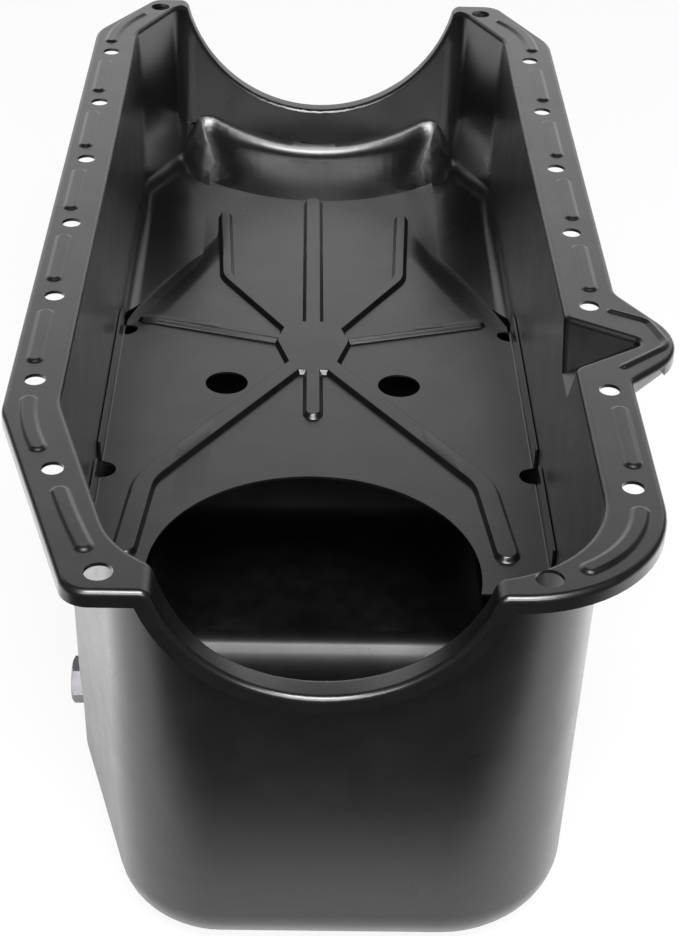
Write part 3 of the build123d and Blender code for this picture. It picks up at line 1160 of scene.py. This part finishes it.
@dataclass
class Studio:
    """White sweep, surroundings, lamps and camera."""

    # Camera: place in metres, turns in degrees, lens in millimetres.
    camera_place: Place = (-0.01181, -0.83761, 0.40753)
    camera_down: float = 34.116
    camera_right: float = 1.690
    camera_roll: float = 1.930
    lens: float = 73.08

    # Sweep: white to the camera, and in what the paint mirrors a painted shade along Y, dark towards the
    # camera and pale behind, that sets the reflections on the pan.  Each row of shades has two ends along Y
    # and the shade at each, and the two rows are added.
    floor_size: float = 9.0
    floor_parts: int = 8
    floor_roughness: float = 0.9
    floor_pale: Colour = (0.9, 0.9, 0.9)
    floor_painted_shades: tuple[tuple[Limits, Limits], ...] = (
        ((-0.40, -0.33), (0.01, 0.52)),
        ((-0.30, -0.08), (0.0, 0.36)),
    )
    white: float = 1.0
    shadow_share: float = 0.12

    # Surroundings: dark, dim and bright strengths, and where a direction's Y, X and Z fade the
    # bright part in.
    surround: tuple[float, float, float] = (0.03, 0.10, 1.0)
    ahead_fade: Limits = (0.2, 0.5)
    aside_fade: Limits = (0.72, 0.46)
    height_fade: Limits = (0.78, 0.52)

    lamps: list[Softbox] = field(default_factory=lambda: [
        Softbox("key", (0.1, -1.15, 1.65), (1.3, 0.7), 55.0),
        Softbox("low front", (0.0, -2.2, 1.25), (2.4, 0.8), 45.0),
    ])

    def build(self) -> None:
        """Set up everything round the pan."""
        self.sweep()
        self.surroundings()
        for lamp in self.lamps:
            lamp.build()
        self.camera()
        bpy.context.scene.view_settings.view_transform = "Standard"
        log.info("studio with %d lamps", len(self.lamps))

    def camera(self) -> None:
        """Place the camera above and behind the rear of the pan."""
        data = bpy.data.cameras.new("camera")
        data.lens = self.lens
        camera = bpy.data.objects.new("camera", data)
        turn = (
            Matrix.Rotation(-math.radians(self.camera_right), 4, "Z")
            @ Matrix.Rotation(math.radians(90 - self.camera_down), 4, "X")
            @ Matrix.Rotation(math.radians(self.camera_roll), 4, "Z")
        )
        camera.matrix_world = Matrix.Translation(self.camera_place) @ turn
        bpy.context.scene.collection.objects.link(camera)
        bpy.context.scene.camera = camera

    def sweep(self) -> None:
        """Lay the white floor that the pan stands on."""
        bpy.ops.object.select_all(action="DESELECT")
        bpy.ops.mesh.primitive_grid_add(
            x_subdivisions=self.floor_parts, y_subdivisions=self.floor_parts,
            size=self.floor_size, location=(0, 0, CAD_BOX[0][2]),
        )
        floor = take_new("floor")
        floor.data.materials.append(self.floor_white_and_painted_shade())

    def floor_white_and_painted_shade(self) -> bpy.types.Material:
        """Make the sweep's white, which keeps a little of the pan's shadow, and its painted shade along Y
        in what the paint mirrors.

        Returns:
            The finished material.
        """
        bench = FinishBench("floor white and painted shade")
        seen_straight = bench.add("ShaderNodeLightPath").outputs["Is Camera Ray"]
        # Painted shade: in reflections the floor's colour runs from dark towards the camera to pale behind,
        # to put dark and bright reflections on the pan.
        along = bench.split(bench.place)["Y"]
        painted_shade = bench.add("ShaderNodeMath", operation="ADD")
        for socket, (ends, results) in zip(painted_shade.inputs, self.floor_painted_shades):
            bench.link(bench.ramp(along, ends, results), socket)
        bench.link(painted_shade.outputs[0], bench.shader.inputs["Base Color"])
        bench.shader.inputs["Roughness"].default_value = self.floor_roughness
        share = bench.add("ShaderNodeMath", operation="MULTIPLY")
        share.inputs[1].default_value = 1 - self.shadow_share
        bench.link(seen_straight, share.inputs[0])
        lit = bench.add("ShaderNodeBsdfDiffuse")
        lit.inputs["Color"].default_value = (*self.floor_pale, 1)
        glow = bench.add("ShaderNodeEmission", Strength=self.white)
        seen = bench.either(share.outputs[0], lit.outputs[0], glow.outputs[0])
        both = bench.either(seen_straight, bench.shader.outputs[0], seen)
        bench.link(both, bench.tree.nodes["Material Output"].inputs["Surface"])
        return bench.material

    def surroundings(self) -> None:
        """Light the room: bright and low ahead of the camera, dim beside that, dark overhead."""
        world = bpy.data.worlds.new("studio")
        bpy.context.scene.world = world
        world.use_nodes = True
        world.node_tree.nodes.clear()
        bench = NodeBench(world.node_tree)
        dark, dim, bright = self.surround
        way = bench.split(bench.add("ShaderNodeTexCoord").outputs["Generated"])
        aside = bench.add("ShaderNodeMath", operation="ABSOLUTE")
        bench.link(way["X"], aside.inputs[0])
        ahead = bench.ramp(way["Y"], self.ahead_fade, FULL)
        across = bench.ramp(aside.outputs[0], self.aside_fade, FULL)
        spot = bench.add("ShaderNodeMapRange", To_Min=dim, To_Max=bright)
        bench.link(bench.times(ahead, across), spot.inputs["Value"])
        low = bench.ramp(way["Z"], self.height_fade, FULL)
        lifted = bench.add("ShaderNodeMath", operation="MAXIMUM")
        lifted.inputs[1].default_value = dark
        bench.link(bench.times(spot.outputs["Result"], low), lifted.inputs[0])
        choice = bench.add("ShaderNodeMix", data_type="FLOAT")
        choice.inputs["B"].default_value = self.white
        bench.link(bench.add("ShaderNodeLightPath").outputs["Is Camera Ray"], choice.inputs["Factor"])
        bench.link(lifted.outputs[0], choice.inputs["A"])
        background = bench.add("ShaderNodeBackground")
        bench.link(choice.outputs[0], background.inputs["Strength"])
        output = bench.add("ShaderNodeOutputWorld")
        bench.link(background.outputs[0], output.inputs["Surface"])


def main() -> None:
    """Build every piece and the studio in order."""
    logging.basicConfig(level=logging.INFO, format="%(name)s: %(message)s")
    plug_low, plug_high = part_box("drain_plug")
    paint = SatinBlackPaint("satin black paint").build()
    PressedPan().build(paint)
    WindageTray().build(SatinBlackPaint("satin black paint on the tray").build())
    DrainBush().build(paint)
    SealingWasher().build(MouldedNylon("moulded nylon").build())
    DrainPlug().build(PlatedSteel("plated steel", (plug_low + plug_high) / 2).build())
    Studio().build()


if __name__ == "__main__":
    main()
